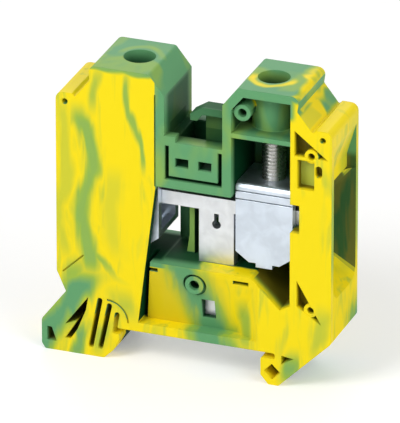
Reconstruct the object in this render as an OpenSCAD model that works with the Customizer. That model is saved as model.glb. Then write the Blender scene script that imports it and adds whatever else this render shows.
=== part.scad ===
// Earth terminal block with two screw clamps, for a 35 mm top-hat rail.
// X runs across the rail, Y along it, Z up. The origin is the middle of the rail seat.
// The open side of the right chamber faces -Y, that of the left chamber +Y.

/* [Block] */
// Width of the block along the rail
block_w = 16; // [15:0.5:20]
// Clear width of the valley between the towers
valley_w = 12.6; // [11:0.2:14]
// Wall beside the valley
wall = 1.9; // [1.4:0.1:2.4]
// Wall that closes a side
skin = 1.6; // [1.2:0.1:1.8]
// Length of each wire funnel, from its clamp chamber to the outer face
frame_w = 9; // [8:0.2:12]
// Height of the base above the rail
base_h = 16.3; // [14:0.1:18]
// Height of the box below the valley
box_h = 10.4; // [9:0.2:12]
// Height of the screw guides above their shelf
guide_h = 10.2; // [9:0.2:12]
// Bore of the screw guides
guide_d = 6.7; // [6.4:0.1:7.4]
// Thickness of the shelf that carries each screw
shelf_t = 1; // [0.8:0.1:1.6]
// How far the outer ridge lies below the tower top
ridge_drop = 6.8; // [6:0.1:8]

/* [Rail] */
// Width of the rail
rail_w = 35; // [34:0.5:36]
// Thickness of the rail's flange
rail_t = 1; // [0.8:0.1:1.5]
// Play between block and rail
rail_play = 0.3; // [0.1:0.05:0.5]
// How far the feet reach below the rail seat
foot_drop = 7.2; // [6.6:0.1:9]
// Reach of the fixed hook below the rail's flange
hook_grip = 2.8; // [2:0.1:3.2]
// Reach of the spring foot's nose below the rail's flange
nose_grip = 1.3; // [0.8:0.1:1.8]

/* [Clamps] */
// Clear length of each clamp chamber
chamber_l = 12.8; // [12:0.1:14]
// Gap between a sleeve and the wall that closes its chamber
sleeve_side = 0.6; // [0.4:0.1:1]
// Free height between base and sleeve, with the clamp open
sleeve_clear = 3.9; // [3:0.1:5]
// Thickness of the sleeves' sheet
sheet_t = 1.8; // [1.4:0.1:2]
// Clear height for the wire below the bar, with the clamp open
wire_h = 6; // [5:0.1:8]
// Play of the sleeves in their chambers and on the bar
play = 0.2; // [0.1:0.05:0.3]
// Gap between the bar and the top of a sleeve, with the clamp open
bar_gap = 1.5; // [0.2:0.1:2.5]
// Free height between a raised sleeve and the shelf above
lift_spare = 5.2; // [2:0.1:7]
// Diameter of the clamping screws
screw_d = 5; // [4:0.5:5.5]
// Height of the screw heads
head_h = 3.6; // [3:0.1:4.5]
// Radial play of the screw heads in their guides
head_play = 0.15; // [0.1:0.05:0.25]
// Radial running clearance of the screws
screw_play = 0.08; // [0.05:0.01:0.1]

/* [Earth bar] */
// Thickness of the bar
bar_t = 3; // [2:0.1:4]
// Thickness of the leg
leg_t = 2.5; // [1.5:0.1:3]
// Length of the leg along the bar
leg_l = 7.6; // [6:0.1:7.8]
// Thickness of the rail contact
contact_t = 1.2; // [0.8:0.1:1.6]
// How far the rail contact reaches past the leg, along the rail
contact_rim = 0.7; // [0.5:0.1:1.5]

/* [Hidden] */
$fn = 48;
eps = 0.05;
seat_play = 0.1;

// Corner radii of the moulding
fine_r = 0.3;
edge_r = 0.5;
corner_r = 0.9;
round_r = 1.5;

// Block
front = -block_w / 2;
back = block_w / 2;
valley_x = valley_w / 2;
chamber_x0 = valley_x + wall;
chamber_x1 = chamber_x0 + chamber_l;
half_l = chamber_x1 + frame_w;

// Clamps, from the base up
screw_x = (chamber_x0 + chamber_x1) / 2;
sleeve_w = block_w - 2 * skin - 2 * sleeve_side;
throat_w = sleeve_w - 2 * sheet_t;
bar_w = throat_w - 2 * play;
sleeve_z0 = base_h + sleeve_clear;
tunnel_z0 = sleeve_z0 + sheet_t;
bar_z = tunnel_z0 + wire_h;
bar_top = bar_z + bar_t;
tunnel_z1 = bar_top + bar_gap;
sleeve_z1 = tunnel_z1 + 2 * sheet_t;
lift = wire_h - play;
shelf_z = sleeve_z1 + lift + lift_spare + shelf_t;
head_z = shelf_z + seat_play;
head_d = guide_d - 2 * head_play;

// Bar ends, just past the chambers
bar_past = 0.7;
bar_end = chamber_x1 + bar_past;

// Towers
tower_z = shelf_z + guide_h;
ridge_z = tower_z - ridge_drop;
roof_t = 1.9;
bevel_x = 3.4;
bevel_z = 4.3;
lip_w = 2;
lip_h = 3.3;
lip_x = chamber_x1 + lip_w;
lip_undercut = 0.5;
groove_in = 2.8;
groove_x = lip_x + groove_in;
groove_d = 0.7;
ridge_r = 1.6;

// Box below the valley
box_clear = 2.6;
box_z0 = bar_top + box_clear;
box_z1 = box_z0 + box_h;

// Base
ledge_z = 2;
panel_depth = 0.4;
recess = skin + panel_depth;
slope_z = 4.1;
leg_side = 0.9;
leg_x0 = chamber_x0 - leg_side - leg_l;
leg_cx = leg_x0 + leg_l / 2;
leg_y0 = -bar_w / 2;
leg_cover = 1;
lean = leg_y0 - front - leg_cover;
rail_x = rail_w / 2;
grip_z = -rail_t - rail_play;

// Colours
moulded = [0.62, 0.78, 0.16];
tinned = [0.88, 0.89, 0.9];
plated = [0.8, 0.84, 0.9];
steel = [0.75, 0.76, 0.78];

// Corner p of a path, rounded to radius r between its neighbours a and b
function unit(v) = v / norm(v);
function corner(a, p, b, r, steps = 5) =
    r == 0 ? [p] :
    let (
        u = unit(a - p),
        w = unit(b - p),
        half = acos(u * w) / 2,
        c = p + unit(u + w) * r / sin(half),
        s = p + u * r / tan(half) - c,
        start = atan2(s.y, s.x),
        sweep = (180 - 2 * half) * (cross(u, w) > 0 ? -1 : 1)
    )
    [for (i = [0:steps]) c + r * [cos(start + sweep * i / steps), sin(start + sweep * i / steps)]];

// Closed path of [x, z, corner radius] with its corners rounded
function flat(p) = [p[0], p[1]];
function rounded(path) =
    let (n = len(path))
    [for (i = [0:n - 1])
        each corner(flat(path[(i + n - 1) % n]), flat(path[i]), flat(path[(i + 1) % n]), path[i][2])];

// The same path on the other side of the middle, in the opposite order
function mirrored(path) = [for (i = [len(path) - 1:-1:0]) [-path[i][0], path[i][1], path[i][2]]];

// An outline in X and Z, given depth from y0 to y1
module slab(y0, y1) {
    translate([0, y1, 0]) rotate([90, 0, 0]) linear_extrude(y1 - y0) children();
}

// A straight slot with round ends through the block, from a to b in X and Z
module slot(a, b, width, y0, y1) {
    along = b - a;
    end = norm(along) + width / 2;
    r = 0.48 * width;
    slab(y0, y1) translate(a) rotate(atan2(along.y, along.x)) polygon(rounded([
        [-width / 2, -width / 2, r],
        [end, -width / 2, r],
        [end, width / 2, r],
        [-width / 2, width / 2, r]
    ]));
}

// A round bar or hole along Y at x and z
module along_y(x, z, d, y0, y1) {
    translate([x, y1, z]) rotate([90, 0, 0]) cylinder(d = d, h = y1 - y0);
}

// Right tower as it is, and the left one turned half round
module both_towers() {
    for (turn = [0, 180]) rotate(turn) children();
}

// Edge of the right tower, from the valley floor over the top to the outer ridge
tower_edge = [
    [valley_x, box_z1, 0],
    [valley_x, tower_z - bevel_z, edge_r],
    [valley_x + bevel_x, tower_z, corner_r],
    [lip_x, tower_z, round_r],
    [lip_x - lip_undercut, tower_z - lip_h, fine_r],
    [groove_x, ridge_z - groove_d, fine_r],
    [groove_x + groove_d, ridge_z, fine_r],
    [half_l, ridge_z, ridge_r]
];

// Fixed hook, from the right outer face down and in to the rail seat
hook_w = 2.2;
hook_bevel = 2;
hook_edge = [
    [half_l, slope_z, corner_r],
    [rail_x + hook_w / 2, -foot_drop, edge_r],
    [rail_x - hook_w / 2, -foot_drop, edge_r],
    [rail_x - hook_grip, -foot_drop + hook_bevel, edge_r],
    [rail_x - hook_grip, grip_z, fine_r],
    [rail_x + rail_play, grip_z, fine_r],
    [rail_x + rail_play, 0, edge_r]
];

// Spring foot, from the rail seat round its nose and bottom up to the left outer face
nose_x = -rail_x + nose_grip;
nose_h = 1.3;
relief_w = 0.8;
relief_h = 3.6;
relief_lean = 0.6;
foot_l = 15.9;
foot_x = -rail_x - foot_l;
foot_bevel = 2.1;
toe_w = 0.8;
toe_h = 1.2;
heel_z = -0.5;
heel_l = 5.4;
root_z = 6.6;
root_h = 4.5;
foot_edge = [
    [-rail_x + relief_w, 0, fine_r],
    [-rail_x + relief_w + relief_lean, relief_h, edge_r],
    [-rail_x - rail_play + relief_lean, relief_h, edge_r],
    [-rail_x - rail_play, grip_z, fine_r],
    [nose_x, grip_z, fine_r],
    [nose_x, grip_z - nose_h, edge_r],
    [-rail_x, -foot_drop + foot_bevel, edge_r],
    [-rail_x - foot_bevel, -foot_drop, corner_r],
    [foot_x + toe_w, -foot_drop, fine_r],
    [foot_x, -foot_drop + toe_h, corner_r],
    [foot_x, heel_z, round_r],
    [foot_x + heel_l, root_z, 0],
    [-half_l, root_z + root_h, corner_r]
];

// Solid outline of the whole moulding
module outline_body() {
    slab(front, back) polygon(rounded(concat(tower_edge, hook_edge, foot_edge, mirrored(tower_edge))));
}

// Slits that make the foot springy, its window, toe hole and shoulder line, and the holes in the hook
slit_w = 1.1;
slit_in = 0.9;
slit_x = -rail_x - slit_in;
slit_step = 2.1;
slit_lean = 2;
slit_top = 4.8;
slit_rise = 0.9;
slit_floor = 2.4;
window_x = slit_x - 2 * slit_step;
window_lean = 5.6;
window_top = 6;
window_side = -0.9;
window_floor = 3.1;
strut_x = 2.9;
strut_z = 0.3;
strut_w = 2;
toe_hole_w = 2.1;
toe_hole_top = -2.1;
toe_rim = 1.2;
hook_hole = 2.5;
hook_hole_z = 3;
notch_in = 1.7;
notch_x = rail_x + notch_in;
notch_w = 2.7;
notch_z = 5;
notch_h = 2;
notch_rise = 1.6;
shoulder_r = 4.4;
shoulder_in = 1.4;
shoulder_x = -rail_x - shoulder_in;
shoulder_z = 1.5;
shoulder_w = 0.4;
shoulder_d = 0.4;
module foot_hollows() {
    y0 = front - eps;
    y1 = back + eps;
    for (i = [0, 1])
        slot([slit_x - i * slit_step, slit_top + i * slit_rise],
            [slit_x - i * slit_step - slit_lean, -foot_drop + slit_floor], slit_w, y0, y1);
    slab(y0, y1) polygon([
        [window_x - slit_lean / 4, window_top],
        [window_x - window_lean, window_side],
        [window_x - strut_x, strut_z],
        [window_x - window_lean, -foot_drop + window_floor],
        [window_x - window_lean + slit_w + eps, -foot_drop + window_floor],
        [window_x - strut_x, strut_z - strut_w],
        [window_x - slit_lean / 2, window_top / 2]
    ]);
    slab(y0, y1) polygon(rounded([
        [foot_x + toe_rim, toe_hole_top, fine_r / 2],
        [foot_x + toe_rim + toe_hole_w / 2, toe_hole_top, fine_r / 2],
        [foot_x + toe_rim + toe_hole_w, -foot_drop + hook_bevel, fine_r / 2],
        [foot_x + toe_rim, -foot_drop + hook_bevel, fine_r / 2]
    ]));
    slab(y0, y1) translate([rail_x - fine_r, -foot_drop + hook_hole_z]) rotate(45)
        square(hook_hole, center = true);
    slab(y0, y1) polygon([
        [notch_x, -foot_drop + notch_z],
        [notch_x + notch_w, -foot_drop + notch_z + notch_rise],
        [notch_x, -foot_drop + notch_z + notch_h]
    ]);
    slab(y0, front + shoulder_d) translate([shoulder_x, shoulder_z]) intersection() {
        difference() {
            circle(shoulder_r + shoulder_w);
            circle(shoulder_r);
        }
        square(2 * shoulder_r);
    }
}

// Frame beside the right chamber: recesses, moulding rings and a pin socket
frame_x = chamber_x1 + frame_w / 2;
rim = 0.9;
pocket_d = 2.5;
pocket_l = 3.7;
pocket_drop = 1;
pocket_h = 6.5;
ring_d = 3;
ring_hole_d = 1.5;
ring_sink = 0.2;
upper_ring_drop = 6;
upper_ring_z = ridge_z - upper_ring_drop;
lower_ring_z = 11;
lower_pocket_h = 6.3;
lower_pocket_drop = 3;
pocket_x0 = chamber_x1 + ring_d / 2;
pocket_x1 = pocket_x0 + pocket_l;
pocket_z1 = upper_ring_z - pocket_drop;
socket_w = 1.5;
socket_h = 1.1;
socket_in = 0.95;
socket_drop = 1.6;
socket_d = 2;
socket_x = pocket_x1 + socket_in;
socket_z = pocket_z1 - socket_drop;
module frame_hollows() {
    y1 = front + pocket_d;
    slab(front - eps, y1) polygon([
        [chamber_x1 + rim, ridge_z - groove_d],
        [half_l - rim, upper_ring_z - fine_r],
        [chamber_x1 + rim, upper_ring_z - fine_r]
    ]);
    slab(front - eps, y1) polygon(rounded([
        [pocket_x0, pocket_z1, fine_r],
        [pocket_x1, pocket_z1, fine_r],
        [pocket_x1, pocket_z1 - pocket_h, fine_r],
        [pocket_x0, pocket_z1 - pocket_h, fine_r]
    ]));
    slab(front - eps, y1) polygon([
        [chamber_x1 + round_r, lower_ring_z + lower_pocket_h],
        [half_l - ring_d + rim, lower_ring_z - lower_pocket_drop],
        [chamber_x1 + round_r, lower_ring_z + edge_r]
    ]);
    slot([socket_x, socket_z], [socket_x, socket_z - socket_h], socket_w, front - eps, front + socket_d);
}

// Clamp chamber with its slanted floor, the pocket above the shelf and the seat of the bar's end
sump_z = 10;
sump_w = 2.2;
sump_rise = 1.3;
ramp_in = 4.2;
ramp_x = chamber_x0 + ramp_in;
bevel_in = 0.8;
bar_room = 3.3;
bar_free = 1.3;
module tower_hollows() {
    slab(front - eps, back - skin) polygon([
        [chamber_x0, shelf_z - shelf_t],
        [chamber_x1, shelf_z - shelf_t],
        [chamber_x1, sump_z + sump_rise],
        [chamber_x1 - sump_w, sump_z],
        [ramp_x, base_h],
        [chamber_x0, base_h]
    ]);
    slab(front - eps, back - skin) polygon([
        [chamber_x0, shelf_z],
        [chamber_x1, shelf_z],
        [chamber_x1, tower_z - roof_t],
        [chamber_x0 + bevel_x - bevel_in, tower_z - roof_t],
        [chamber_x0, tower_z - bevel_z - bevel_in]
    ]);
    translate([chamber_x1 - eps, front - eps, bar_z - seat_play])
        cube([bar_past + bar_free + eps, bar_w / 2 + seat_play - front + eps, bar_t + bar_room]);
    frame_hollows();
}

// Screw guide, boss beside it and the rings of the frame
guide_wall = 1.1;
boss_d = 3.6;
boss_hole_d = 1.9;
boss_hole_l = 3;
boss_sink = 0.6;
boss_in = 2.2;
boss_drop = 5.6;
boss_x = chamber_x0 + boss_in;
boss_z = tower_z - boss_drop;
boss_web = 0.8;
module tower_fittings() {
    translate([screw_x, 0, shelf_z - eps])
        cylinder(d = guide_d + 2 * guide_wall, h = guide_h - roof_t + 2 * eps);
    along_y(boss_x, boss_z, boss_d, front + boss_sink, back - skin + eps);
    translate([chamber_x0 - eps, front + rim, boss_z - boss_web / 2])
        cube([boss_x - chamber_x0, back - skin - front - rim + eps, boss_web]);
    for (z = [upper_ring_z, lower_ring_z])
        along_y(frame_x, z, ring_d, front + ring_sink, front + pocket_d + eps);
}

// Wire funnel: a wide round-cornered mouth that narrows to the throat, and the lead-in above it
mouth_drop = 9;
mouth_rise = 9.6;
mouth_z0 = tunnel_z0 - mouth_drop;
mouth_z1 = bar_top + mouth_rise;
mouth_rim = 1.3;
mouth_w = block_w - 2 * mouth_rim;
mouth_r = 3;
lead_h = 7.1;
lead_d = 2;
module funnel_ring(x, w, z0, z1, r) {
    translate([x, 0, 0]) rotate([90, 0, 90]) linear_extrude(eps) polygon(rounded([
        [-w / 2, z0, r],
        [w / 2, z0, r],
        [w / 2, z1, r],
        [-w / 2, z1, r]
    ]));
}
module funnel() {
    hull() {
        funnel_ring(chamber_x1 - 2 * eps, throat_w, tunnel_z0, bar_z, fine_r);
        funnel_ring(half_l + eps, mouth_w, mouth_z0, mouth_z1, mouth_r);
    }
    slab(-mouth_w / 2, mouth_w / 2) polygon([
        [half_l + eps, mouth_z1 + lead_h],
        [half_l + eps, mouth_z1 - mouth_r],
        [half_l - lead_d, mouth_z1 - mouth_r],
        [half_l - lead_d, mouth_z1]
    ]);
}

// Holes of one tower: screwdriver guide, screw, wire funnel, pin holes and the marks of its closed side
pin_d = 1.3;
pin_l = 2;
pin_in = 2;
mark_w = 0.3;
mark_d = 0.4;
mark_z = 11.1;
mark_l = 4.4;
mark_h = 4.2;
module tower_bores() {
    translate([screw_x, 0, shelf_z]) cylinder(d = guide_d, h = guide_h + eps);
    translate([screw_x, 0, shelf_z - shelf_t - eps])
        cylinder(d = screw_d + 2 * screw_play, h = shelf_t + 2 * eps);
    funnel();
    along_y(boss_x, boss_z, boss_hole_d, front, front + boss_hole_l);
    for (z = [upper_ring_z, lower_ring_z])
        along_y(frame_x, z, ring_hole_d, front, front + pocket_d);
    along_y(half_l - pin_in, ridge_z - pin_in, pin_d, front - eps, front + pin_l);
    along_y(half_l - pin_in, ridge_z - pin_in, pin_d, back - pin_l, back + eps);
    slot([half_l - rim - edge_r, mark_z], [half_l - rim - edge_r - mark_l, mark_z + mark_h], mark_w,
        back - mark_d, back + eps);
    slab(back - mark_d, back + eps) translate([chamber_x0, box_z0])
        square([mark_w, tower_z - bevel_z - box_z0]);
}

// Slanted right edge of the left front panel, as x at height z
panel_slant = 3.9;
function panel_x(z) = -chamber_x0 - panel_slant * (box_z0 - z) / (box_z0 - ledge_z);

// Open middle below the valley box, the leaning base panel, its slits and the sight hole on the leg
slope_l = 6;
side_slit_w = 0.9;
side_slit_d = 3;
vent_x = [panel_x(base_h), chamber_x0 + fine_r];
vent_l = [2.4, 3.4];
vent_h = 0.9;
vent_d = 2.4;
vent_drop = 2.3;
sight_w = 2.9;
sight_h = 4.4;
sight_z = 4.5;
sight_off = 0.9;
module middle_hollows() {
    translate([-chamber_x0 - eps, front - eps, base_h])
        cube([2 * chamber_x0 + 2 * eps, back - skin - front + eps, box_z0 - base_h]);
    slab(front - eps, front + recess) polygon([
        [panel_x(box_z0), box_z0],
        [panel_x(base_h), base_h],
        [chamber_x0, base_h],
        [chamber_x0, box_z0]
    ]);
    intersection() {
        translate([-half_l, 0, 0]) rotate([90, 0, 90]) linear_extrude(2 * half_l) polygon([
            [front, base_h],
            [front + lean, ledge_z],
            [front - eps, ledge_z],
            [front - eps, base_h]
        ]);
        slab(front - 2 * eps, back) polygon([
            [panel_x(base_h + eps), base_h + eps],
            [panel_x(ledge_z - eps), ledge_z - eps],
            [half_l, ledge_z - eps],
            [half_l, base_h + eps]
        ]);
        linear_extrude(base_h + eps) polygon([
            [-half_l, front - 2 * eps],
            [chamber_x0 + slope_l, front - 2 * eps],
            [chamber_x0, front + lean + eps],
            [-half_l, front + lean + eps]
        ]);
    }
    slab(front - eps, front + lean + side_slit_d) polygon([
        [panel_x(ledge_z), ledge_z],
        [panel_x(base_h), base_h + eps],
        [panel_x(base_h) + side_slit_w, base_h + eps],
        [panel_x(ledge_z) + side_slit_w, ledge_z]
    ]);
    for (i = [0, 1])
        translate([vent_x[i], front - eps, base_h - vent_drop]) cube([vent_l[i], vent_d, vent_h]);
    translate([leg_cx - sight_off - sight_w / 2, front - eps, sight_z])
        cube([sight_w, leg_y0 - front + 2 * eps, sight_h]);
    along_y(0, base_ring_z, base_ring_d + 2 * moat_w, front - eps, front + moat_d);
}

// Pockets for the bar's leg and for the strip that touches the rail
contact_w = bar_w + 2 * contact_rim;
contact_x0 = nose_x + rail_play;
contact_x1 = rail_x - hook_grip - rail_play;
module contact_hollows() {
    translate([leg_x0 - seat_play, leg_y0 - seat_play, contact_t])
        cube([leg_l + 2 * seat_play, leg_t + 2 * seat_play, base_h]);
    contact_l = contact_x1 - contact_x0;
    translate([contact_x0 - seat_play, -contact_w / 2 - seat_play, -eps])
        cube([contact_l + 2 * seat_play, contact_w + 2 * seat_play, contact_t + seat_play + eps]);
}

// Ring in its moat on the base panel and the two ribs that carry the bar, the left one with a flared foot
base_ring_d = 4;
base_ring_hole_d = 2.2;
base_ring_drop = 4;
base_ring_z = base_h - base_ring_drop;
moat_w = 0.5;
moat_d = 1.9;
rib_y = leg_y0 + leg_t + 3 * seat_play;
rib_t = 1.1;
rib_gap = 0.9;
rib_x = leg_x0 - rib_t;
flare = 0.6;
flare_h = 4;
module middle_fittings() {
    along_y(0, base_ring_z, base_ring_d, front + edge_r, front + moat_d + eps);
    translate([rib_x, rib_y, base_h - eps])
        cube([rib_t, back - skin - rib_y + eps, bar_z - seat_play - base_h + eps]);
    slab(rib_y, back - skin + eps) translate([rib_x - rib_gap - rib_t, 0]) polygon([
        [-flare, base_h - eps],
        [rib_t, base_h - eps],
        [rib_t, bar_z - seat_play],
        [0, bar_z - seat_play],
        [0, base_h + flare_h]
    ]);
}

// Slot round three sides of the valley box's front flap, its two windows and the pocket for a bridge
box_gap = 0.9;
flap_h = 0.9;
bridge_x = 4.4;
bridge_d = 7;
gap_past = 1.4;
pane_w = 2.9;
pane_h = 2;
pane_x = 2.5;
pane_rise = 5;
pane_z = box_z0 + pane_rise;
module box_hollows() {
    flap_z = box_z0 + wall;
    inner = valley_x - seat_play;
    flap_t = -bridge_x - front;
    slab(front - eps, front + flap_t + gap_past) difference() {
        translate([-inner, flap_z]) square([2 * inner, box_z1 - flap_h - flap_z]);
        translate([-inner + box_gap, flap_z + box_gap]) square([2 * inner - 2 * box_gap, box_h]);
    }
    for (x = [-pane_x, pane_x])
        translate([x - pane_w / 2, front - eps, pane_z]) cube([pane_w, flap_t + 2 * eps, pane_h]);
    translate([-bridge_x, -bridge_x, box_z1 - bridge_d]) cube([2 * bridge_x, 2 * bridge_x, bridge_d + eps]);
}

// Catch on the right valley wall that holds a bridge down, the web below it, and a lug on the box
catch_x = -1.4;
catch_in = 2;
catch_y = front + catch_in;
catch_w = 3.5;
catch_t = 1.6;
catch_drop = 6.5;
catch_z = tower_z - catch_drop;
nib_l = 2.7;
nib_h = 1.7;
tip_l = 1.5;
tip_h = 1.5;
web_x = 1.4;
web_t = 1.4;
lug_l = 2.4;
lug_w = 2.4;
lug_h = 1.2;
module bridge_catch() {
    tip_floor = catch_z - catch_t - tip_h;
    slab(catch_y, catch_y + catch_w) polygon([
        [valley_x + eps, catch_z],
        [catch_x + nib_l, catch_z],
        [catch_x, catch_z - nib_h],
        [catch_x, tip_floor],
        [catch_x + tip_l, tip_floor],
        [catch_x + nib_l, catch_z - catch_t],
        [valley_x + eps, catch_z - catch_t]
    ]);
    translate([web_x, catch_y + catch_w / 2, box_z1 - eps])
        cube([valley_x - web_x + eps, web_t, catch_z - catch_t / 2 - box_z1]);
    translate([-valley_x - eps, front, box_z1 - eps]) cube([lug_l + eps, lug_w, lug_h + eps]);
}

module housing() {
    color(moulded) difference() {
        union() {
            difference() {
                outline_body();
                both_towers() tower_hollows();
                middle_hollows();
                box_hollows();
                foot_hollows();
            }
            both_towers() tower_fittings();
            middle_fittings();
            bridge_catch();
        }
        both_towers() tower_bores();
        contact_hollows();
        along_y(0, base_ring_z, base_ring_hole_d, front, front + moat_d + round_r);
    }
}

// Bar from clamp to clamp, with its leg, a keyhole and the tenon that is riveted in the contact
tenon_l = 4;
keyhole_d = 1.9;
keyhole_w = 1;
keyhole_l = 2.4;
keyhole_drop = 3;
keyhole_z = bar_z - keyhole_drop;
module earth_bar() {
    color(tinned) difference() {
        union() {
            translate([-bar_end, -bar_w / 2, bar_z]) cube([2 * bar_end, bar_w, bar_t]);
            translate([leg_x0, leg_y0, contact_t]) cube([leg_l, leg_t, bar_z - contact_t + eps]);
            translate([leg_cx - tenon_l / 2, leg_y0, seat_play]) cube([tenon_l, leg_t, contact_t]);
        }
        along_y(leg_cx, keyhole_z, keyhole_d, leg_y0 - eps, leg_y0 + leg_t + eps);
        translate([leg_cx - keyhole_w / 2, leg_y0 - eps, keyhole_z])
            cube([keyhole_w, leg_t + 2 * eps, keyhole_l]);
    }
}

// Strip that lies on both flanges of the rail
module rail_contact() {
    color(tinned) difference() {
        translate([contact_x0, -contact_w / 2, 0]) cube([contact_x1 - contact_x0, contact_w, contact_t]);
        translate([leg_cx - tenon_l / 2 - eps, leg_y0 - eps, -eps])
            cube([tenon_l + 2 * eps, leg_t + 2 * eps, contact_t + 2 * eps]);
    }
}

// Folded sheet round the bar's end, with overlapping layers on top and a grooved floor for the wire
sleeve_x0 = chamber_x0 + play;
sleeve_x1 = chamber_x1 - play;
cheek_h = 1.5;
cheek_z = sleeve_z0 - cheek_h;
cut_x = 2.9;
cut_z = 2.1;
tab_w = 3.6;
tab_h = 0.9;
bend_r = 1.2;
ply_gap = 0.25;
ply_d = 1;
tooth_n = 5;
tooth_d = 0.4;
module clamp_sleeve() {
    skirt = cheek_h + tab_h + eps;
    tooth_step = (sleeve_x1 - sleeve_x0) / (tooth_n + 1);
    difference() {
        intersection() {
            slab(-sleeve_w / 2, sleeve_w / 2) polygon([
                [sleeve_x0, sleeve_z1],
                [sleeve_x1, sleeve_z1],
                [sleeve_x1, cheek_z + cut_z],
                [sleeve_x1 - cut_x, cheek_z],
                [screw_x + tab_w / 2, cheek_z],
                [screw_x + tab_w / 2, cheek_z - tab_h],
                [screw_x - tab_w / 2, cheek_z - tab_h],
                [screw_x - tab_w / 2, cheek_z],
                [sleeve_x0 + cut_x, cheek_z],
                [sleeve_x0, cheek_z + cut_z]
            ]);
            rotate([90, 0, 90]) linear_extrude(half_l) polygon(rounded([
                [-sleeve_w / 2, sleeve_z0 - skirt, 0],
                [-sleeve_w / 2, sleeve_z1, bend_r],
                [sleeve_w / 2, sleeve_z1, bend_r],
                [sleeve_w / 2, sleeve_z0 - skirt, 0]
            ]));
        }
        translate([0, -throat_w / 2, tunnel_z0]) cube([half_l, throat_w, tunnel_z1 - tunnel_z0]);
        translate([0, -throat_w / 2, sleeve_z0 - skirt]) cube([half_l, throat_w, skirt]);
        for (i = [1:tooth_n])
            slab(-throat_w / 2, throat_w / 2) translate([sleeve_x0 + i * tooth_step, tunnel_z0])
                rotate(45) square(tooth_d * sqrt(2), center = true);
        for (z = [tunnel_z1, tunnel_z1 + sheet_t])
            translate([0, -sleeve_w / 2 - eps, z]) cube([half_l, ply_d, ply_gap]);
        translate([screw_x, 0, tunnel_z1 - eps])
            cylinder(d = screw_d + 2 * screw_play, h = 2 * sheet_t + 2 * eps);
    }
}
module right_sleeve() { color(plated) clamp_sleeve(); }
module left_sleeve() { color(plated) rotate(180) clamp_sleeve(); }

// Screw that stands on the bar, with a cross-slotted head in its guide
tip_z = bar_top + seat_play;
tip_bevel = 0.6;
head_bevel = 0.5;
drive_w = 1;
drive_d = 1.6;
module clamp_screw() {
    head_top = head_z + head_h;
    translate([screw_x, 0, 0]) difference() {
        rotate_extrude() polygon([
            [0, tip_z],
            [screw_d / 2 - tip_bevel, tip_z],
            [screw_d / 2, tip_z + tip_bevel],
            [screw_d / 2, head_z],
            [head_d / 2, head_z],
            [head_d / 2, head_top - head_bevel],
            [head_d / 2 - head_bevel, head_top],
            [0, head_top]
        ]);
        for (turn = [0, 90])
            rotate(turn) translate([-head_d / 2, -drive_w / 2, head_top - drive_d])
                cube([head_d, drive_w, drive_d + eps]);
    }
}
module right_screw() { color(steel) clamp_screw(); }
module left_screw() { color(steel) rotate(180) clamp_screw(); }

housing();
earth_bar();
rail_contact();
left_sleeve();
right_sleeve();
left_screw();
right_screw();
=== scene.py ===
"""Looks of the earth terminal block: marbled plastic, plated metal, threads, light and camera."""

import math

import bmesh
import bpy
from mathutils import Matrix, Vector

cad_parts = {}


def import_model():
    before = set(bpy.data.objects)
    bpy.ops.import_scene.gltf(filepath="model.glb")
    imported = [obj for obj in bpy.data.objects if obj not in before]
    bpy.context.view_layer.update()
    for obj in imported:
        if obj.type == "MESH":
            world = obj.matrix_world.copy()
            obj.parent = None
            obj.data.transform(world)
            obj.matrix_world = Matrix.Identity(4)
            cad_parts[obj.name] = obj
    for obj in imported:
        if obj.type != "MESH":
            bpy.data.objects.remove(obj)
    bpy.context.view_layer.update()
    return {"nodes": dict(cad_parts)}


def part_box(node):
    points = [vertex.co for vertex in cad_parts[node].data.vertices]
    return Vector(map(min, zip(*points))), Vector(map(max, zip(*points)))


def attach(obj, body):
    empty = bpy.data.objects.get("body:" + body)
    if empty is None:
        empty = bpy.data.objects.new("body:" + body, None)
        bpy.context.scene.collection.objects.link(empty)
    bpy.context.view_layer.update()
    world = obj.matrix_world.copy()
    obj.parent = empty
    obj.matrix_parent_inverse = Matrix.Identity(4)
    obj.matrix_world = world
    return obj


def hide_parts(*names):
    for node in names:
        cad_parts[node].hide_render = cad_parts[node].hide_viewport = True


MM = 0.001

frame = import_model()

# Sizes of the CAD part that the looks refer to, in millimetres
housing_low, housing_high = (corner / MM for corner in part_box("housing"))
sleeve_low, sleeve_high = (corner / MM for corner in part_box("right_sleeve"))
bar_low, bar_high = (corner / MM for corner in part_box("earth_bar"))
HALF_W = housing_high.y
OUTER_X = housing_high.x
TOP_Z = housing_high.z
FLOOR_Z = housing_low.z
FOOT_X = housing_low.x
SLEEVE_PLAY = 0.2
CHAMBER_X0 = sleeve_low.x - SLEEVE_PLAY
CHAMBER_X1 = sleeve_high.x + SLEEVE_PLAY
VALLEY_Z = bar_high.z + 2.3  # underside of the box in the valley
BASE_Z = sleeve_low.z - 1.4  # top of the base
LEDGE_Z = 2.0  # top of the ledge at the foot of the base panel
PANEL_LEAN = 3.2 / (BASE_Z - LEDGE_Z)  # the base panel leans back by this, per millimetre down
SHELF_Z = TOP_Z - 10.2  # shelf between a chamber and the screw guide above it
RING_Z = TOP_Z - 12.8  # upper moulding ring in the frame beside a chamber
POCKET_D = 2.5  # depth of the recesses in the same frame
SQUARE_X1 = CHAMBER_X1 + 5.2  # outer wall of the square recess below that ring
SQUARE_Z1 = RING_Z - 1.0  # its upper and lower edges
SQUARE_Z0 = SQUARE_Z1 - 6.5
FUNNEL_Z = bar_low.z + 18.8  # lower edge of the wire funnels
MOUTH_Z = bar_high.z + 9.6  # upper edge of the wire funnels
FOOT_SLIT_X = FOOT_X + 15.5  # inner end of the spring foot's slits
HEEL_SLOPE = 0.76  # lean of the spring foot's heel
GUIDE_X = (CHAMBER_X0 + CHAMBER_X1) / 2
GUIDE_R = 3.35

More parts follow.
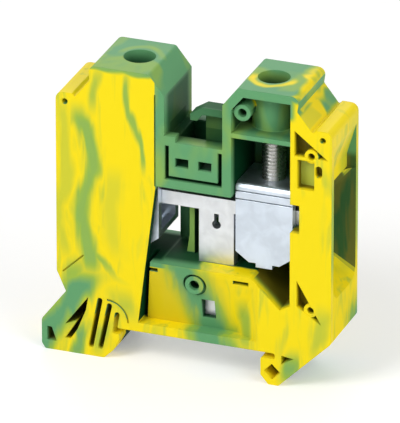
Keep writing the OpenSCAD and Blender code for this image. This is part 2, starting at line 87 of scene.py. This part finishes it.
# Colours, as linear values. Deep green and bottle green are painted shade in the hollows, ochre is
# painted shade on the base panel, bistre is painted shade in the frame's recesses, and umber is
# painted shade in those recesses, the chamber floors and the foot's slits as well as the colour of
# the funnels' veins
YELLOW = (0.900, 0.710, 0.006)
LIME = (0.315, 0.470, 0.058)
GREEN = (0.118, 0.336, 0.146)
PAINTED_SHADE_GREEN = (0.004, 0.042, 0.015)
PAINTED_FUNNEL_GREEN = (0.030, 0.085, 0.020)
PAINTED_PANEL_OCHRE = (0.640, 0.510, 0.012)
UMBER_VEINS_AND_SHADE = (0.160, 0.130, 0.010)
PAINTED_POCKET_DARK = (0.060, 0.050, 0.003)
MOSS = (0.530, 0.640, 0.100)
TIN = (0.770, 0.790, 0.810)
ZINC = (0.680, 0.750, 0.835)
STEEL = (0.660, 0.650, 0.630)
PAPER = (0.860, 0.860, 0.860)
PAPER_SHADE = (0.840, 0.840, 0.845)
WHITE = (1.0, 1.0, 1.0)


class Shader:
    """A material whose nodes are added and linked by short calls."""

    def __init__(self, name):
        self.material = bpy.data.materials.new(name)
        self.material.use_nodes = True
        self.tree = self.material.node_tree
        self.surface = self.tree.nodes["Principled BSDF"]

    def node(self, kind, settings=None, **inputs):
        made = self.tree.nodes.new(kind)
        for key, value in (settings or {}).items():
            setattr(made, key, value)
        for key, value in inputs.items():
            self.feed(made.inputs[key.replace("_", " ")], value)
        return made

    def feed(self, socket, value):
        if isinstance(value, bpy.types.NodeSocket):
            self.tree.links.new(value, socket)
        elif socket.type == "RGBA":
            socket.default_value = (*value, 1)
        else:
            socket.default_value = value

    def math(self, operation, *values, clamp=False):
        made = self.node("ShaderNodeMath", {"operation": operation, "use_clamp": clamp})
        for socket, value in zip(made.inputs, values):
            self.feed(socket, value)
        return made.outputs[0]

    def add(self, first, second):
        return self.math("ADD", first, second)

    def size(self, value):
        """value without its sign."""
        return self.math("ABSOLUTE", value)

    def times(self, *values):
        product = values[0]
        for value in values[1:]:
            product = self.math("MULTIPLY", product, value)
        return product

    def most(self, *values):
        largest = values[0]
        for value in values[1:]:
            largest = self.math("MAXIMUM", largest, value)
        return largest

    def without(self, value, taken):
        """value where taken is 0, and nothing where taken is 1."""
        return self.times(value, self.math("SUBTRACT", 1.0, taken))

    def step(self, value, start, end):
        """0 at start and 1 at end, which may lie below start, with a soft change between them."""
        made = self.node("ShaderNodeMapRange", {"interpolation_type": "SMOOTHSTEP"}, Value=value)
        low, high = ("To Min", "To Max") if start < end else ("To Max", "To Min")
        made.inputs["From Min"].default_value = min(start, end)
        made.inputs["From Max"].default_value = max(start, end)
        made.inputs[low].default_value = 0.0
        made.inputs[high].default_value = 1.0
        return made.outputs["Result"]

    def band(self, value, start, end, soft):
        """1 between start and end, with soft edges."""
        return self.times(
            self.step(value, start - soft, start + soft), self.step(value, end + soft, end - soft)
        )

    def remap(self, value, low, high):
        """low where value is 0, and high where it is 1."""
        made = self.node("ShaderNodeMapRange", Value=value, To_Min=low, To_Max=high)
        return made.outputs["Result"]

    def swing(self, noise, reach):
        """A shift of up to reach either way, from noise between 0 and 1."""
        return self.math("MULTIPLY_ADD", noise, 2 * reach, -reach)

    def mix(self, factor, first, second):
        """Two colours mixed; the node's colour sockets follow those for numbers and vectors."""
        made = self.node("ShaderNodeMix", {"data_type": "RGBA"})
        self.feed(made.inputs["Factor"], factor)
        self.feed(made.inputs[6], first)
        self.feed(made.inputs[7], second)
        return made.outputs[2]

    def scaled(self, vector, factors):
        made = self.node("ShaderNodeVectorMath", {"operation": "MULTIPLY"})
        self.feed(made.inputs[0], vector)
        made.inputs[1].default_value = factors
        return made.outputs[0]

    def parts(self, vector):
        split = self.node("ShaderNodeSeparateXYZ", Vector=vector).outputs
        return split["X"], split["Y"], split["Z"]

    def place(self):
        """Place on the object in millimetres, and the direction that its surface faces."""
        found = self.node("ShaderNodeTexCoord").outputs
        return self.scaled(found["Object"], (1 / MM, 1 / MM, 1 / MM)), found["Normal"]

    def noise(self, vector, stretch, detail=2.0, distortion=0.0):
        """Noise from 0 to 1 whose grain has a frequency, per millimetre, along each axis."""
        made = self.node(
            "ShaderNodeTexNoise",
            Vector=self.scaled(vector, stretch),
            Scale=1.0,
            Detail=detail,
            Distortion=distortion,
        )
        return made.outputs["Fac"]

    def bump(self, height, strength, distance, edge):
        """Raise the surface by height, with edges that look rounded by the radius edge."""
        rounded = self.node("ShaderNodeBevel", {"samples": 4}, Radius=edge).outputs["Normal"]
        made = self.node(
            "ShaderNodeBump", Height=height, Strength=strength, Distance=distance, Normal=rounded
        )
        self.set(Normal=made.outputs["Normal"])

    def set(self, **inputs):
        for key, value in inputs.items():
            self.feed(self.surface.inputs[key.replace("_", " ")], value)


class Spot:
    """A point on the housing: its place in millimetres and the way that the surface faces."""

    def __init__(self, shader):
        self.place, facing = shader.place()
        self.x, self.y, self.z = shader.parts(self.place)
        self.nx, self.ny, self.nz = shader.parts(facing)
        left_or_right = shader.math("SIGN", self.x)
        front_or_back = shader.math("SIGN", self.y)
        # Distance from each middle plane, and how much the surface faces away from it
        self.out = shader.size(self.x)
        self.side = shader.size(self.y)
        self.faces_out = shader.times(self.nx, left_or_right)
        self.faces_aside = shader.times(self.ny, front_or_back)
        # x as read from the nearer flat side, because the block is alike once turned half round
        self.across = shader.times(self.x, -1.0, front_or_back)
        # Distance behind the open side of the chamber
        self.behind = shader.math("MULTIPLY_ADD", self.y, left_or_right, HALF_W)
        # Distance from the axis of the screw guide
        lane = shader.math("SUBTRACT", self.out, GUIDE_X)
        squares = shader.add(shader.times(lane, lane), shader.times(self.y, self.y))
        self.from_guide = shader.math("SQRT", squares)


# Green streaks in the yellow of the flat sides: middle, lean per millimetre of height, sway,
# half width, lowest and highest point, and strength
SIDE_STREAKS = [
    (-23.4, 0.00, 1.1, 3.4, 9, 51, 0.66),
    (-28.6, 0.00, 0.4, 2.4, 12, 52, 0.28),
    (-12.6, -0.10, 0.5, 1.1, 34, 60, 0.60),
    (-20.4, 0.10, 0.4, 1.6, 46, 60, 0.45),
    (-17.4, -0.05, 0.8, 3.2, 14, 38, 0.20),
    (-27.2, 0.25, 0.6, 3.6, 3, 17, 0.55),
    (-29.8, 0.60, 0.2, 6.0, -13, 14, 1.00),
    (-25.2, 0.30, 0.1, 2.6, -12, 3, 0.80),
    (-20.4, -0.90, 0.0, 1.8, 9, 21, 0.55),
    (-16.4, -0.30, 0.2, 4.0, 0, 11, 0.38),
    (-20.0, 0.25, 0.2, 2.2, -9, 4, 0.45),
    (1.1, -0.48, 0.3, 8.0, -6, 21, 1.00),
    (10.8, -0.05, 0.3, 2.0, -3, 12, 0.50),
    (21.5, 0.25, 0.5, 3.0, -9, 3, 0.75),
    (27.6, 0.05, 0.4, 2.2, -2, 14, 0.35),
]
SWAY_RATE = 0.24  # radians per millimetre of height
SWAY_START = -7.4
STREAK_CORE = 0.1  # full strength within this share of the half width
STREAK_FADE = 3.0  # both ends of a streak fade over twice this height
FEATHER_SHARE = 0.25  # how ragged the edges are, as a share of the half width
FEATHER_MOST = 0.9


def side_streaks(shader, at, waver, feather):
    """How green the flat sides are, from listed streaks that waver and have ragged edges."""
    sway = shader.math("SINE", shader.math("MULTIPLY_ADD", at.z, SWAY_RATE, SWAY_START))
    strongest = 0.0
    for middle, lean, swing, half, low, high, strength in SIDE_STREAKS:
        centre = shader.math("MULTIPLY_ADD", at.z, lean, middle - lean * (low + high) / 2)
        centre = shader.math("MULTIPLY_ADD", sway, swing, centre)
        off = shader.size(shader.math("SUBTRACT", shader.add(at.across, waver), centre))
        rag = min(FEATHER_SHARE * half, FEATHER_MOST)
        streak = shader.times(
            shader.step(shader.math("MULTIPLY_ADD", feather, rag, off), half, STREAK_CORE * half),
            shader.band(at.z, low + STREAK_FADE, high - STREAK_FADE, STREAK_FADE),
            strength,
        )
        strongest = shader.most(strongest, streak)
    # Both sides' streaks end before the middle plane, where they would meet in a seam
    return shader.times(strongest, shader.step(at.side, 0.5, 4.5))


def frame_pockets(shader, at):
    """The recesses in the frame beside each chamber's open side."""
    recess = shader.times(
        shader.band(at.across, CHAMBER_X1 + 0.1, OUTER_X - 0.6, 0.1),
        shader.band(at.z, LEDGE_Z + 4.0, TOP_Z - 7.4, 0.1),
        shader.step(at.side, HALF_W - POCKET_D - 0.3, HALF_W - POCKET_D - 0.1),
        shader.step(at.faces_aside, -0.4, -0.2),
    )
    funnel_face = shader.times(
        shader.step(at.faces_out, 0.1, 0.3),
        shader.most(
            shader.step(at.nz, -0.1, -0.3),
            shader.step(at.across, SQUARE_X1 + 0.4, SQUARE_X1 + 0.8),
        ),
    )
    return shader.without(recess, funnel_face)


def pocket_shade_colour(shader, at):
    """Colour painted inside the recesses: painted shade of bistre above the ring and umber below
    it, and moss green on the square one's floor.
    """
    square_floor = shader.times(
        shader.step(shader.size(at.ny), 0.6, 0.8),
        shader.step(at.across, SQUARE_X1 + 0.2, SQUARE_X1 + 0.1),
        shader.band(at.z, SQUARE_Z0 - 0.1, SQUARE_Z1 + 0.1, 0.1),
    )
    rest = shader.mix(shader.step(at.z, RING_Z - 0.8, RING_Z + 1.2), UMBER_VEINS_AND_SHADE, PAINTED_POCKET_DARK)
    return shader.mix(square_floor, rest, MOSS)


def chamber_floor(shader, at):
    """The slanted floor of each clamp chamber."""
    return shader.times(
        shader.step(at.nz, 0.3, 0.5),
        shader.band(at.out, CHAMBER_X0, CHAMBER_X1, 0.1),
        shader.step(at.z, BASE_Z - 0.1, BASE_Z - 0.3),
    )


def leg_ribs(shader, at):
    """The front faces of the ribs that carry the bar beside its leg."""
    return shader.times(
        shader.step(at.ny, -0.6, -0.8),
        shader.band(at.x, -CHAMBER_X0 + 3.6, 0.0, 0.2),
        shader.band(at.y, -2.0, 0.0, 0.2),
        shader.band(at.z, BASE_Z + 0.2, VALLEY_Z - 2.0, 0.2),
    )


def foot_slits(shader, at):
    """The walls of the slits and the window in the spring foot."""
    from_heel = shader.math("MULTIPLY_ADD", at.z, -HEEL_SLOPE, at.x)
    return shader.times(
        shader.step(from_heel, FOOT_X + 0.6, FOOT_X + 0.8),
        shader.step(at.x, FOOT_X + 0.3, FOOT_X + 0.5),
        shader.step(at.x, FOOT_SLIT_X, FOOT_SLIT_X - 0.1),
        shader.band(at.z, FLOOR_Z + 1.9, FLOOR_Z + 13.6, 0.1),
        shader.step(at.side, HALF_W - 0.1, HALF_W - 1.5),
    )


RIB_YELLOW = 0.3


def yellow_zones(shader, at, drip):
    """Where the moulding came out yellow, mostly on its flat sides and outer faces."""
    flank = shader.times(
        shader.step(at.side, HALF_W - 0.5, HALF_W - 0.2),
        shader.step(shader.size(at.ny), 0.5, 0.7),
    )
    base = shader.times(
        shader.step(at.z, BASE_Z + 0.3, BASE_Z - 0.3),
        shader.step(at.y, -HALF_W + 4.0, -HALF_W + 3.4),
        shader.most(
            shader.step(at.ny, -0.5, -0.7), shader.step(at.z, LEDGE_Z + 0.4, LEDGE_Z + 0.1)
        ),
    )
    ends = shader.times(
        shader.step(at.out, OUTER_X - 2.6, OUTER_X - 2.1),
        shader.step(shader.size(at.nx), 0.5, 0.7),
    )
    ridge = shader.times(
        shader.step(at.out, OUTER_X - 5.0, OUTER_X - 4.0),
        shader.step(at.z, TOP_Z - 9.6, TOP_Z - 8.6),
    )
    chute = shader.times(
        shader.step(at.nz, 0.2, 0.5),
        shader.step(at.out, CHAMBER_X1 + 0.2, CHAMBER_X1 + 3.0),
        shader.step(at.z, FUNNEL_Z + 2.0, FUNNEL_Z),
    )
    sill = shader.times(
        shader.step(at.nz, 0.5, 0.7),
        shader.band(at.z, BASE_Z - 0.6, BASE_Z + 0.6, 0.1),
        shader.step(shader.add(at.y, shader.times(drip, 0.2)), -HALF_W + 4.6, -HALF_W + 3.8),
        shader.step(shader.add(at.x, shader.times(drip, 0.5)), 0.0, 2.0),
    )
    # Painted shade: the chamber floor keeps its yellow only near the open side, and further back
    # takes the painted umber shade of the hollows
    slide = shader.times(chamber_floor(shader, at), shader.step(at.behind, 3.5, 0.3))
    ribs = shader.times(leg_ribs(shader, at), RIB_YELLOW)
    pockets = frame_pockets(shader, at)
    yellow = shader.most(flank, base, ends, ridge, chute, sill, pockets, slide, ribs)
    return shader.without(yellow, green_edges(shader, at, drip))


def green_edges(shader, at, drip):
    """Edges of the flat sides that stayed green."""
    valley = shader.times(
        shader.step(at.out, CHAMBER_X0 + 0.25, CHAMBER_X0 + 0.1),
        shader.step(at.z, VALLEY_Z, VALLEY_Z + 0.2),
    )
    shelf = shader.times(
        shader.band(at.across, CHAMBER_X0, CHAMBER_X1, 0.05),
        shader.band(at.z, SHELF_Z - 1.1, SHELF_Z + 0.1, 0.1),
    )
    crown = shader.times(
        shader.step(shader.add(at.z, shader.times(drip, 0.5)), TOP_Z - 6.0, TOP_Z - 4.0),
        shader.step(at.across, CHAMBER_X0 - 2.0, CHAMBER_X0),
        shader.step(at.across, CHAMBER_X1 + 1.6, CHAMBER_X1 - 0.2),
    )
    trim = shader.step(shader.add(at.z, shader.times(drip, 0.4)), TOP_Z - 1.4, TOP_Z - 0.3)
    rim = shader.times(
        shader.step(at.x, -CHAMBER_X0 - 2.2, -CHAMBER_X0 - 1.8),
        shader.step(at.x, 4.5 - CHAMBER_X0, 0.5 - CHAMBER_X0),
        shader.band(at.z, BASE_Z - 1.3, BASE_Z + 0.3, 0.2),
        shader.step(at.y, 0.0, -1.0),
    )
    return shader.most(valley, shelf, crown, trim, rim)


LEFT_CURLS = 0.25
RIGHT_CURLS = 0.83


def top_curls(shader, at, drip):
    """Yellow in the green of the tops: a ring round each guide, the lip and the slope's front."""
    ring = shader.times(
        shader.band(
            shader.add(at.from_guide, shader.times(drip, 0.3)), GUIDE_R + 0.25, GUIDE_R + 1.85, 0.6
        ),
        shader.step(at.behind, HALF_W + 1.5, HALF_W - 2.0),
    )
    lip = shader.band(
        shader.add(at.out, shader.times(drip, 0.7)), CHAMBER_X1 + 0.6, CHAMBER_X1 + 2.2, 1.0
    )
    slope = shader.times(
        shader.step(at.out, CHAMBER_X1 + 1.6, CHAMBER_X1 + 2.4),
        shader.step(shader.add(at.y, drip), 2.4, 0.8),
    )
    return shader.times(
        shader.most(ring, lip, slope),
        shader.step(at.nz, 0.1, 0.3),
        shader.step(at.z, TOP_Z - 9.0, TOP_Z - 8.0),
        shader.step(at.out, CHAMBER_X0, CHAMBER_X0 + 2.0),
        shader.remap(shader.step(at.x, -4.0, 6.0), LEFT_CURLS, RIGHT_CURLS),
    )


# Strengths of the painted shade that darkens each hollow
MIDDLE_SHADE_PAINT = 0.90
FUNNEL_SHADE_PAINT = 0.88
GUIDE_SHADE_PAINT = 0.90
BORE_SHADE_PAINT = 0.80
VALLEY_SHADE_PAINT = 0.75
SLITS_SHADE_PAINT = 0.95


def painted_hollow_shade(shader, at):
    """Painted shade in the hollows: how far each is darkened towards deep green, the chambers
    most, then the slits, funnels and guides.
    """
    below_shelf = shader.step(at.z, SHELF_Z - 0.5, SHELF_Z - 1.5)
    chamber = shader.times(
        shader.step(at.side, HALF_W - 0.3, HALF_W - 2.5),
        shader.band(at.out, CHAMBER_X0 - 1.0, CHAMBER_X1, 1.0),
        below_shelf,
    )
    middle = shader.times(
        shader.step(at.side, HALF_W - 0.8, HALF_W - 4.0),
        shader.step(at.out, CHAMBER_X0, CHAMBER_X0 - 1.0),
        below_shelf,
        MIDDLE_SHADE_PAINT,
    )
    funnel = shader.times(
        shader.step(at.out, CHAMBER_X1, CHAMBER_X1 + 0.2),
        shader.step(at.side, HALF_W - 0.9, HALF_W - 1.2),
        shader.band(at.z, LEDGE_Z, MOUTH_Z, 1.0),
        FUNNEL_SHADE_PAINT,
    )
    around_guide = shader.times(
        shader.step(at.side, HALF_W - 0.6, HALF_W - 3.0),
        shader.band(at.z, SHELF_Z, TOP_Z - 1.5, 0.3),
        shader.band(at.out, CHAMBER_X0 - 0.2, CHAMBER_X1 + 0.2, 0.1),
        shader.step(at.from_guide, GUIDE_R + 1.2, GUIDE_R + 1.5),
        GUIDE_SHADE_PAINT,
    )
    bore = shader.times(
        shader.step(at.from_guide, GUIDE_R + 0.4, GUIDE_R + 0.1),
        shader.step(at.z, TOP_Z, TOP_Z - 3.0),
        BORE_SHADE_PAINT,
    )
    valley = shader.times(
        shader.step(at.side, HALF_W - 0.2, HALF_W - 3.0),
        shader.step(at.out, CHAMBER_X0 - 1.5, CHAMBER_X0 - 1.7),
        shader.band(at.z, SHELF_Z - 4.5, TOP_Z - 4.5, 1.0),
        VALLEY_SHADE_PAINT,
    )
    jamb = shader.times(
        shader.step(at.nx, 0.3, 0.6),
        shader.band(at.x, -CHAMBER_X0 - 4.5, -CHAMBER_X0 + 0.1, 0.1),
        shader.step(at.y, -HALF_W + 4.0, -HALF_W + 3.5),
        shader.step(at.z, VALLEY_Z, VALLEY_Z - 1.0),
    )
    box_slits = shader.times(
        shader.step(at.side, HALF_W - 0.3, HALF_W - 1.0),
        shader.step(at.out, CHAMBER_X0 - 1.8, CHAMBER_X0 - 1.9),
        shader.band(at.z, VALLEY_Z + 2.0, VALLEY_Z + 10.4, 0.1),
        SLITS_SHADE_PAINT,
    )
    from_edge = shader.math("SUBTRACT", at.y, PANEL_LEAN * BASE_Z - HALF_W)
    behind_panel = shader.math("MULTIPLY_ADD", at.z, PANEL_LEAN, from_edge)
    panel_slits = shader.times(
        shader.step(behind_panel, 0.2, 0.6),
        shader.band(at.y, -HALF_W + 0.2, -HALF_W + 4.5, 0.1),
        shader.band(at.x, -CHAMBER_X0 - 4.2, CHAMBER_X0 + 4.0, 0.1),
        shader.band(at.z, LEDGE_Z + 0.3, BASE_Z - 0.7, 0.1),
        SLITS_SHADE_PAINT,
    )
    hollow_shading = shader.most(
        chamber, middle, funnel, around_guide, bore, valley, jamb, box_slits, panel_slits
    )
    roof = shader.times(
        shader.step(at.nz, 0.2, 0.4), shader.step(at.z, TOP_Z - 5.5, TOP_Z - 4.8)
    )
    return shader.without(hollow_shading, shader.most(roof, leg_ribs(shader, at)))


# Reach, in millimetres, of the wander of the streaks, of their edges and of the zones' edges
WAVER = 2.5
FEATHER = 2.5
DRIP = 4.0

# Where lime and full green lie on the way from yellow to green
LIME_AT = 0.55
GREEN_AT = 0.95

# Strengths of the patterns in the plastic, and of the painted shade on the base panel, in the
# frame's recesses and in the foot's slits
WISPS = 0.35
WASH = 0.30
FUNNEL_RIMS = 0.50
VEINS = 0.80
PANEL_SHADE_STRENGTH = 0.80
POCKET_SHADE = 0.90
SLIT_SHADE = 0.80


def green_share(shader, at, yellow, flow, fine, drip):
    """How green the plastic is, from 0 for yellow to 1."""
    streaks = side_streaks(shader, at, shader.swing(flow, WAVER), shader.swing(fine, FEATHER))
    wisps = shader.times(shader.step(fine, 0.50, 0.80), WISPS)
    wash = shader.times(shader.step(flow, 0.44, 0.66), WASH)
    rims = shader.times(
        shader.step(shader.size(at.nx), 0.6, 0.8),
        shader.step(at.out, OUTER_X - 0.3, OUTER_X - 0.1),
        shader.step(at.side, HALF_W - 1.6, HALF_W - 1.2),
        shader.band(at.z, FUNNEL_Z, MOUTH_Z, 5.0),
        FUNNEL_RIMS,
    )
    plain = shader.without(shader.math("SUBTRACT", 1.0, yellow), wash)
    green = shader.most(plain, streaks, wisps, rims)
    return shader.math("SUBTRACT", green, top_curls(shader, at, drip), clamp=True)


def marbled_plastic():
    """Yellow and green polyamide that flowed together in the mould."""
    shader = Shader("marbled_plastic")
    at = Spot(shader)
    flow = shader.noise(at.place, (0.10, 0.10, 0.05), 2.0, 0.6)
    swirl = shader.noise(at.place, (0.14, 0.14, 0.14), 1.0, 0.8)
    fine = shader.noise(at.place, (0.40, 0.30, 0.07), 2.0, 0.6)
    drip = shader.swing(swirl, DRIP)

    yellow = yellow_zones(shader, at, drip)
    green = green_share(shader, at, yellow, flow, fine, drip)
    ramp = shader.node("ShaderNodeValToRGB", Fac=green)
    ramp.color_ramp.elements[0].color = (*YELLOW, 1)
    ramp.color_ramp.elements[1].position = GREEN_AT
    ramp.color_ramp.elements[1].color = (*GREEN, 1)
    ramp.color_ramp.elements.new(LIME_AT).color = (*LIME, 1)

    # Painted shade: the hollows darkened to deep green, bottle green on the funnel side, and the
    # chamber floors painted umber; the funnels also have brown veins
    shade = painted_hollow_shade(shader, at)
    outer = shader.step(at.out, CHAMBER_X1, CHAMBER_X1 + 0.2)
    veins = shader.times(shader.step(fine, 0.36, 0.60), outer, VEINS)
    veins_and_floor_shade = shader.most(veins, chamber_floor(shader, at))
    hollow_shading = shader.mix(veins_and_floor_shade, shader.mix(outer, PAINTED_SHADE_GREEN, PAINTED_FUNNEL_GREEN), UMBER_VEINS_AND_SHADE)
    colour = shader.mix(shader.without(shade, yellow), ramp.outputs["Color"], hollow_shading)

    # Painted shade: the left of the base panel, which lies in the shade of the tower, is painted
    # ochre
    painted_panel_shade = shader.times(
        shader.step(at.z, BASE_Z - 0.3, BASE_Z - 0.6),
        shader.step(at.y, -HALF_W + 0.1, -HALF_W + 0.5),
        shader.step(at.x, CHAMBER_X0 + 3.0, -CHAMBER_X0 + 4.0),
        shader.step(at.ny, -0.5, -0.7),
        shader.without(PANEL_SHADE_STRENGTH, green),
    )
    colour = shader.mix(painted_panel_shade, colour, PAINTED_PANEL_OCHRE)
    # Painted shade in the frame's recesses
    painted_pocket_shade = shader.times(
        frame_pockets(shader, at),
        shader.step(at.side, HALF_W - 0.3, HALF_W - 1.6),
        POCKET_SHADE,
    )
    colour = shader.mix(painted_pocket_shade, colour, pocket_shade_colour(shader, at))
    # Painted shade: the walls of the spring foot's slits are darkened to umber
    colour = shader.mix(shader.times(foot_slits(shader, at), SLIT_SHADE), colour, UMBER_VEINS_AND_SHADE)

    grain = shader.noise(at.place, (4.0, 4.0, 4.0), 2.0)
    shader.set(Base_Color=colour, Roughness=shader.remap(flow, 0.40, 0.52))
    shader.set(IOR=1.5, Specular_IOR_Level=shader.remap(shade, 0.14, 0.01))
    shader.bump(grain, strength=0.05, distance=0.04 * MM, edge=0.22 * MM)
    return shader.material


DULLED = 0.86  # brightness of the darker parts of a plating's mottle


def plated(name, colour, roughness, brush):
    """Plated metal with faint drawn lines; brush gives their frequency along each axis."""
    shader = Shader(name)
    place, _ = shader.place()
    lines = shader.noise(place, brush, 3.0)
    mottle = shader.noise(place, (0.3, 0.3, 0.3), 2.0, 0.5)
    dulled = tuple(DULLED * part for part in colour)
    shader.set(Base_Color=shader.mix(shader.step(mottle, 0.3, 0.7), colour, dulled), Metallic=1.0)
    shader.set(Roughness=shader.remap(lines, roughness - 0.08, roughness + 0.10))
    shader.bump(lines, strength=0.10, distance=0.03 * MM, edge=0.15 * MM)
    return shader.material


def dress(node, material):
    piece = frame["nodes"][node]
    piece.data.materials.clear()
    piece.data.materials.append(material)


# Thread of the screws, in millimetres: pitch, depth, corners round a turn, and the height and
# depth of the corners of its profile as parts of the pitch and of the thread's depth
THREAD_PITCH = 0.8
THREAD_DEPTH = 0.46
THREAD_SIDES = 40
THREAD_PROFILE = [(0.00, 1.0), (0.12, 1.0), (0.44, 0.0), (0.56, 0.0)]
TIP_TAPER = 0.9
NECK_TAPER = 0.3
MERGE = 0.0001
BELOW_HEAD = 0.01  # what lies lower than the head by this belongs to the shank
HEAD_SHARE = 0.95  # what reaches this share of the head's radius belongs to the head


def cut_thread(made, axis, crest, low_z, high_z):
    """Wind a thread round the axis between two heights, with a flat tip below and open above."""

    def turn_of(start, cut):
        """One corner of the thread's profile, wound once round the shank on its way up."""
        spots = []
        for i in range(THREAD_SIDES + 1):
            z = max(low_z, min(high_z, start + THREAD_PITCH * i / THREAD_SIDES))
            full = min(1.0, (z - low_z) / TIP_TAPER, (high_z - z) / NECK_TAPER)
            reach = crest - THREAD_DEPTH * (1.0 - (1.0 - cut) * full)
            angle = 2 * math.pi * i / THREAD_SIDES
            side = axis + reach * Vector((math.cos(angle), math.sin(angle)))
            spots.append(made.verts.new(Vector((*side, z)) * MM))
        return spots

    # One turn more at each end lies flat there, so that the winding closes on itself
    turns = [
        turn_of(low_z + THREAD_PITCH * (turn + rise), cut)
        for turn in range(-1, math.ceil((high_z - low_z) / THREAD_PITCH) + 1)
        for rise, cut in THREAD_PROFILE
    ]
    for lower, upper in zip(turns, turns[1:]):
        for i in range(THREAD_SIDES):
            made.faces.new((lower[i], lower[i + 1], upper[i + 1], upper[i]))
    made.faces.new(turns[0][:0:-1])
    bmesh.ops.remove_doubles(made, verts=made.verts, dist=MERGE * MM)


def threaded_screw(node, material):
    """The CAD screw's head on a shank with a cut thread, in place of the plain CAD screw."""
    low, high = (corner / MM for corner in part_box(node))
    axis = (low + high).xy / 2
    head_r = (high.x - low.x) / 2
    made = bmesh.new()
    made.from_mesh(frame["nodes"][node].data)

    def radius_of(vert):
        return (vert.co.xy / MM - axis).length

    head_z = min(vert.co.z / MM for vert in made.verts if radius_of(vert) > HEAD_SHARE * head_r)
    shank_z = head_z - BELOW_HEAD
    crest = max(radius_of(vert) for vert in made.verts if vert.co.z / MM < shank_z)
    shank = [face for face in made.faces if face.calc_center_median().z / MM < shank_z]
    bmesh.ops.delete(made, geom=shank, context="FACES")
    cut_thread(made, axis, crest, low.z, head_z)
    bmesh.ops.bridge_loops(made, edges=[edge for edge in made.edges if edge.is_boundary])

    mesh = bpy.data.meshes.new(node + "_threaded")
    made.to_mesh(mesh)
    made.free()
    mesh.materials.clear()
    mesh.materials.append(material)
    screw = bpy.data.objects.new(node + "_threaded", mesh)
    bpy.context.scene.collection.objects.link(screw)
    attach(screw, node)
    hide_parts(node)


FLOOR_SIZE = 30
FLOOR_GLOW = 0.25


def floor():
    """White paper that keeps the object's shadow."""
    shader = Shader("floor")
    place, _ = shader.place()
    tone = shader.step(shader.noise(place, (0.004, 0.004, 0.004), 2.0), 0.2, 0.8)
    path = shader.node("ShaderNodeLightPath").outputs
    seen = shader.most(path["Is Camera Ray"], path["Is Glossy Ray"], path["Is Transmission Ray"])
    shader.set(Base_Color=shader.mix(tone, PAPER, PAPER_SHADE), Roughness=0.95)
    shader.set(Emission_Color=WHITE, Emission_Strength=shader.times(seen, FLOOR_GLOW))
    shader.set(Specular_IOR_Level=0.0)
    mesh = bpy.data.meshes.new("floor")
    shape = bmesh.new()
    bmesh.ops.create_grid(shape, x_segments=1, y_segments=1, size=FLOOR_SIZE)
    shape.to_mesh(mesh)
    shape.free()
    mesh.materials.append(shader.material)
    plane = bpy.data.objects.new("floor", mesh)
    plane.location.z = FLOOR_Z * MM
    bpy.context.scene.collection.objects.link(plane)


def world(strength):
    """Even light from all round, which the camera and reflections see as white."""
    made = bpy.data.worlds.new("studio")
    made.use_nodes = True
    nodes, links = made.node_tree.nodes, made.node_tree.links
    lit = nodes["Background"]
    lit.inputs["Strength"].default_value = strength
    seen = nodes.new("ShaderNodeBackground")
    for background in (lit, seen):
        background.inputs["Color"].default_value = (*WHITE, 1)
    path = nodes.new("ShaderNodeLightPath").outputs
    shown = path["Is Camera Ray"]
    for ray in ("Is Glossy Ray", "Is Transmission Ray"):
        either = nodes.new("ShaderNodeMath")
        either.operation = "MAXIMUM"
        links.new(shown, either.inputs[0])
        links.new(path[ray], either.inputs[1])
        shown = either.outputs[0]
    mixed = nodes.new("ShaderNodeMixShader")
    links.new(shown, mixed.inputs[0])
    links.new(lit.outputs[0], mixed.inputs[1])
    links.new(seen.outputs[0], mixed.inputs[2])
    links.new(mixed.outputs[0], nodes["World Output"].inputs["Surface"])
    bpy.context.scene.world = made


LIT_SPOT = Vector((0, 0, 0.03))  # what the lamps point at, in metres


def lamp(name, place, size, power):
    light = bpy.data.lights.new(name, "AREA")
    light.size = size
    light.energy = power
    holder = bpy.data.objects.new(name, light)
    holder.location = place
    holder.rotation_euler = (LIT_SPOT - holder.location).to_track_quat("-Z", "Y").to_euler()
    bpy.context.scene.collection.objects.link(holder)


def camera(azimuth, elevation, distance, view_width, target):
    """A camera that shows view_width at the target, from an azimuth and elevation in degrees."""
    lens = bpy.data.cameras.new("camera")
    lens.sensor_fit = "HORIZONTAL"
    lens.sensor_width = 36
    lens.lens = lens.sensor_width * distance / view_width
    lens.clip_end = 100
    holder = bpy.data.objects.new("camera", lens)
    turn, rise = math.radians(azimuth), math.radians(elevation)
    across, back = math.sin(turn) * math.cos(rise), math.cos(turn) * math.cos(rise)
    away = Vector((across, -back, math.sin(rise)))
    holder.location = Vector(target) + away * distance
    holder.rotation_euler = (-away).to_track_quat("-Z", "Y").to_euler()
    bpy.context.scene.collection.objects.link(holder)
    bpy.context.scene.camera = holder


plastic = marbled_plastic()
tin = plated("tin_plate", TIN, roughness=0.42, brush=(0.3, 5.0, 5.0))
zinc = plated("zinc_plate", ZINC, roughness=0.38, brush=(0.5, 3.0, 3.0))
screw_steel = plated("screw_steel", STEEL, roughness=0.28, brush=(3.0, 3.0, 0.4))

dress("housing", plastic)
dress("earth_bar", tin)
dress("rail_contact", tin)
for side in ("left", "right"):
    dress(side + "_sleeve", zinc)
    threaded_screw(side + "_screw", screw_steel)

floor()
world(strength=0.40)
lamp("key", place=(-0.30, -0.55, 0.60), size=0.35, power=3.7)
lamp("fill", place=(0.62, -0.30, 0.35), size=0.50, power=2.4)
lamp("back", place=(-0.25, 0.65, 0.45), size=0.50, power=1.4)
camera(20.5, 25.0, distance=1.9, view_width=0.082, target=(-0.0015, 0.0, 0.0255))
bpy.context.scene.view_settings.view_transform = "Standard"
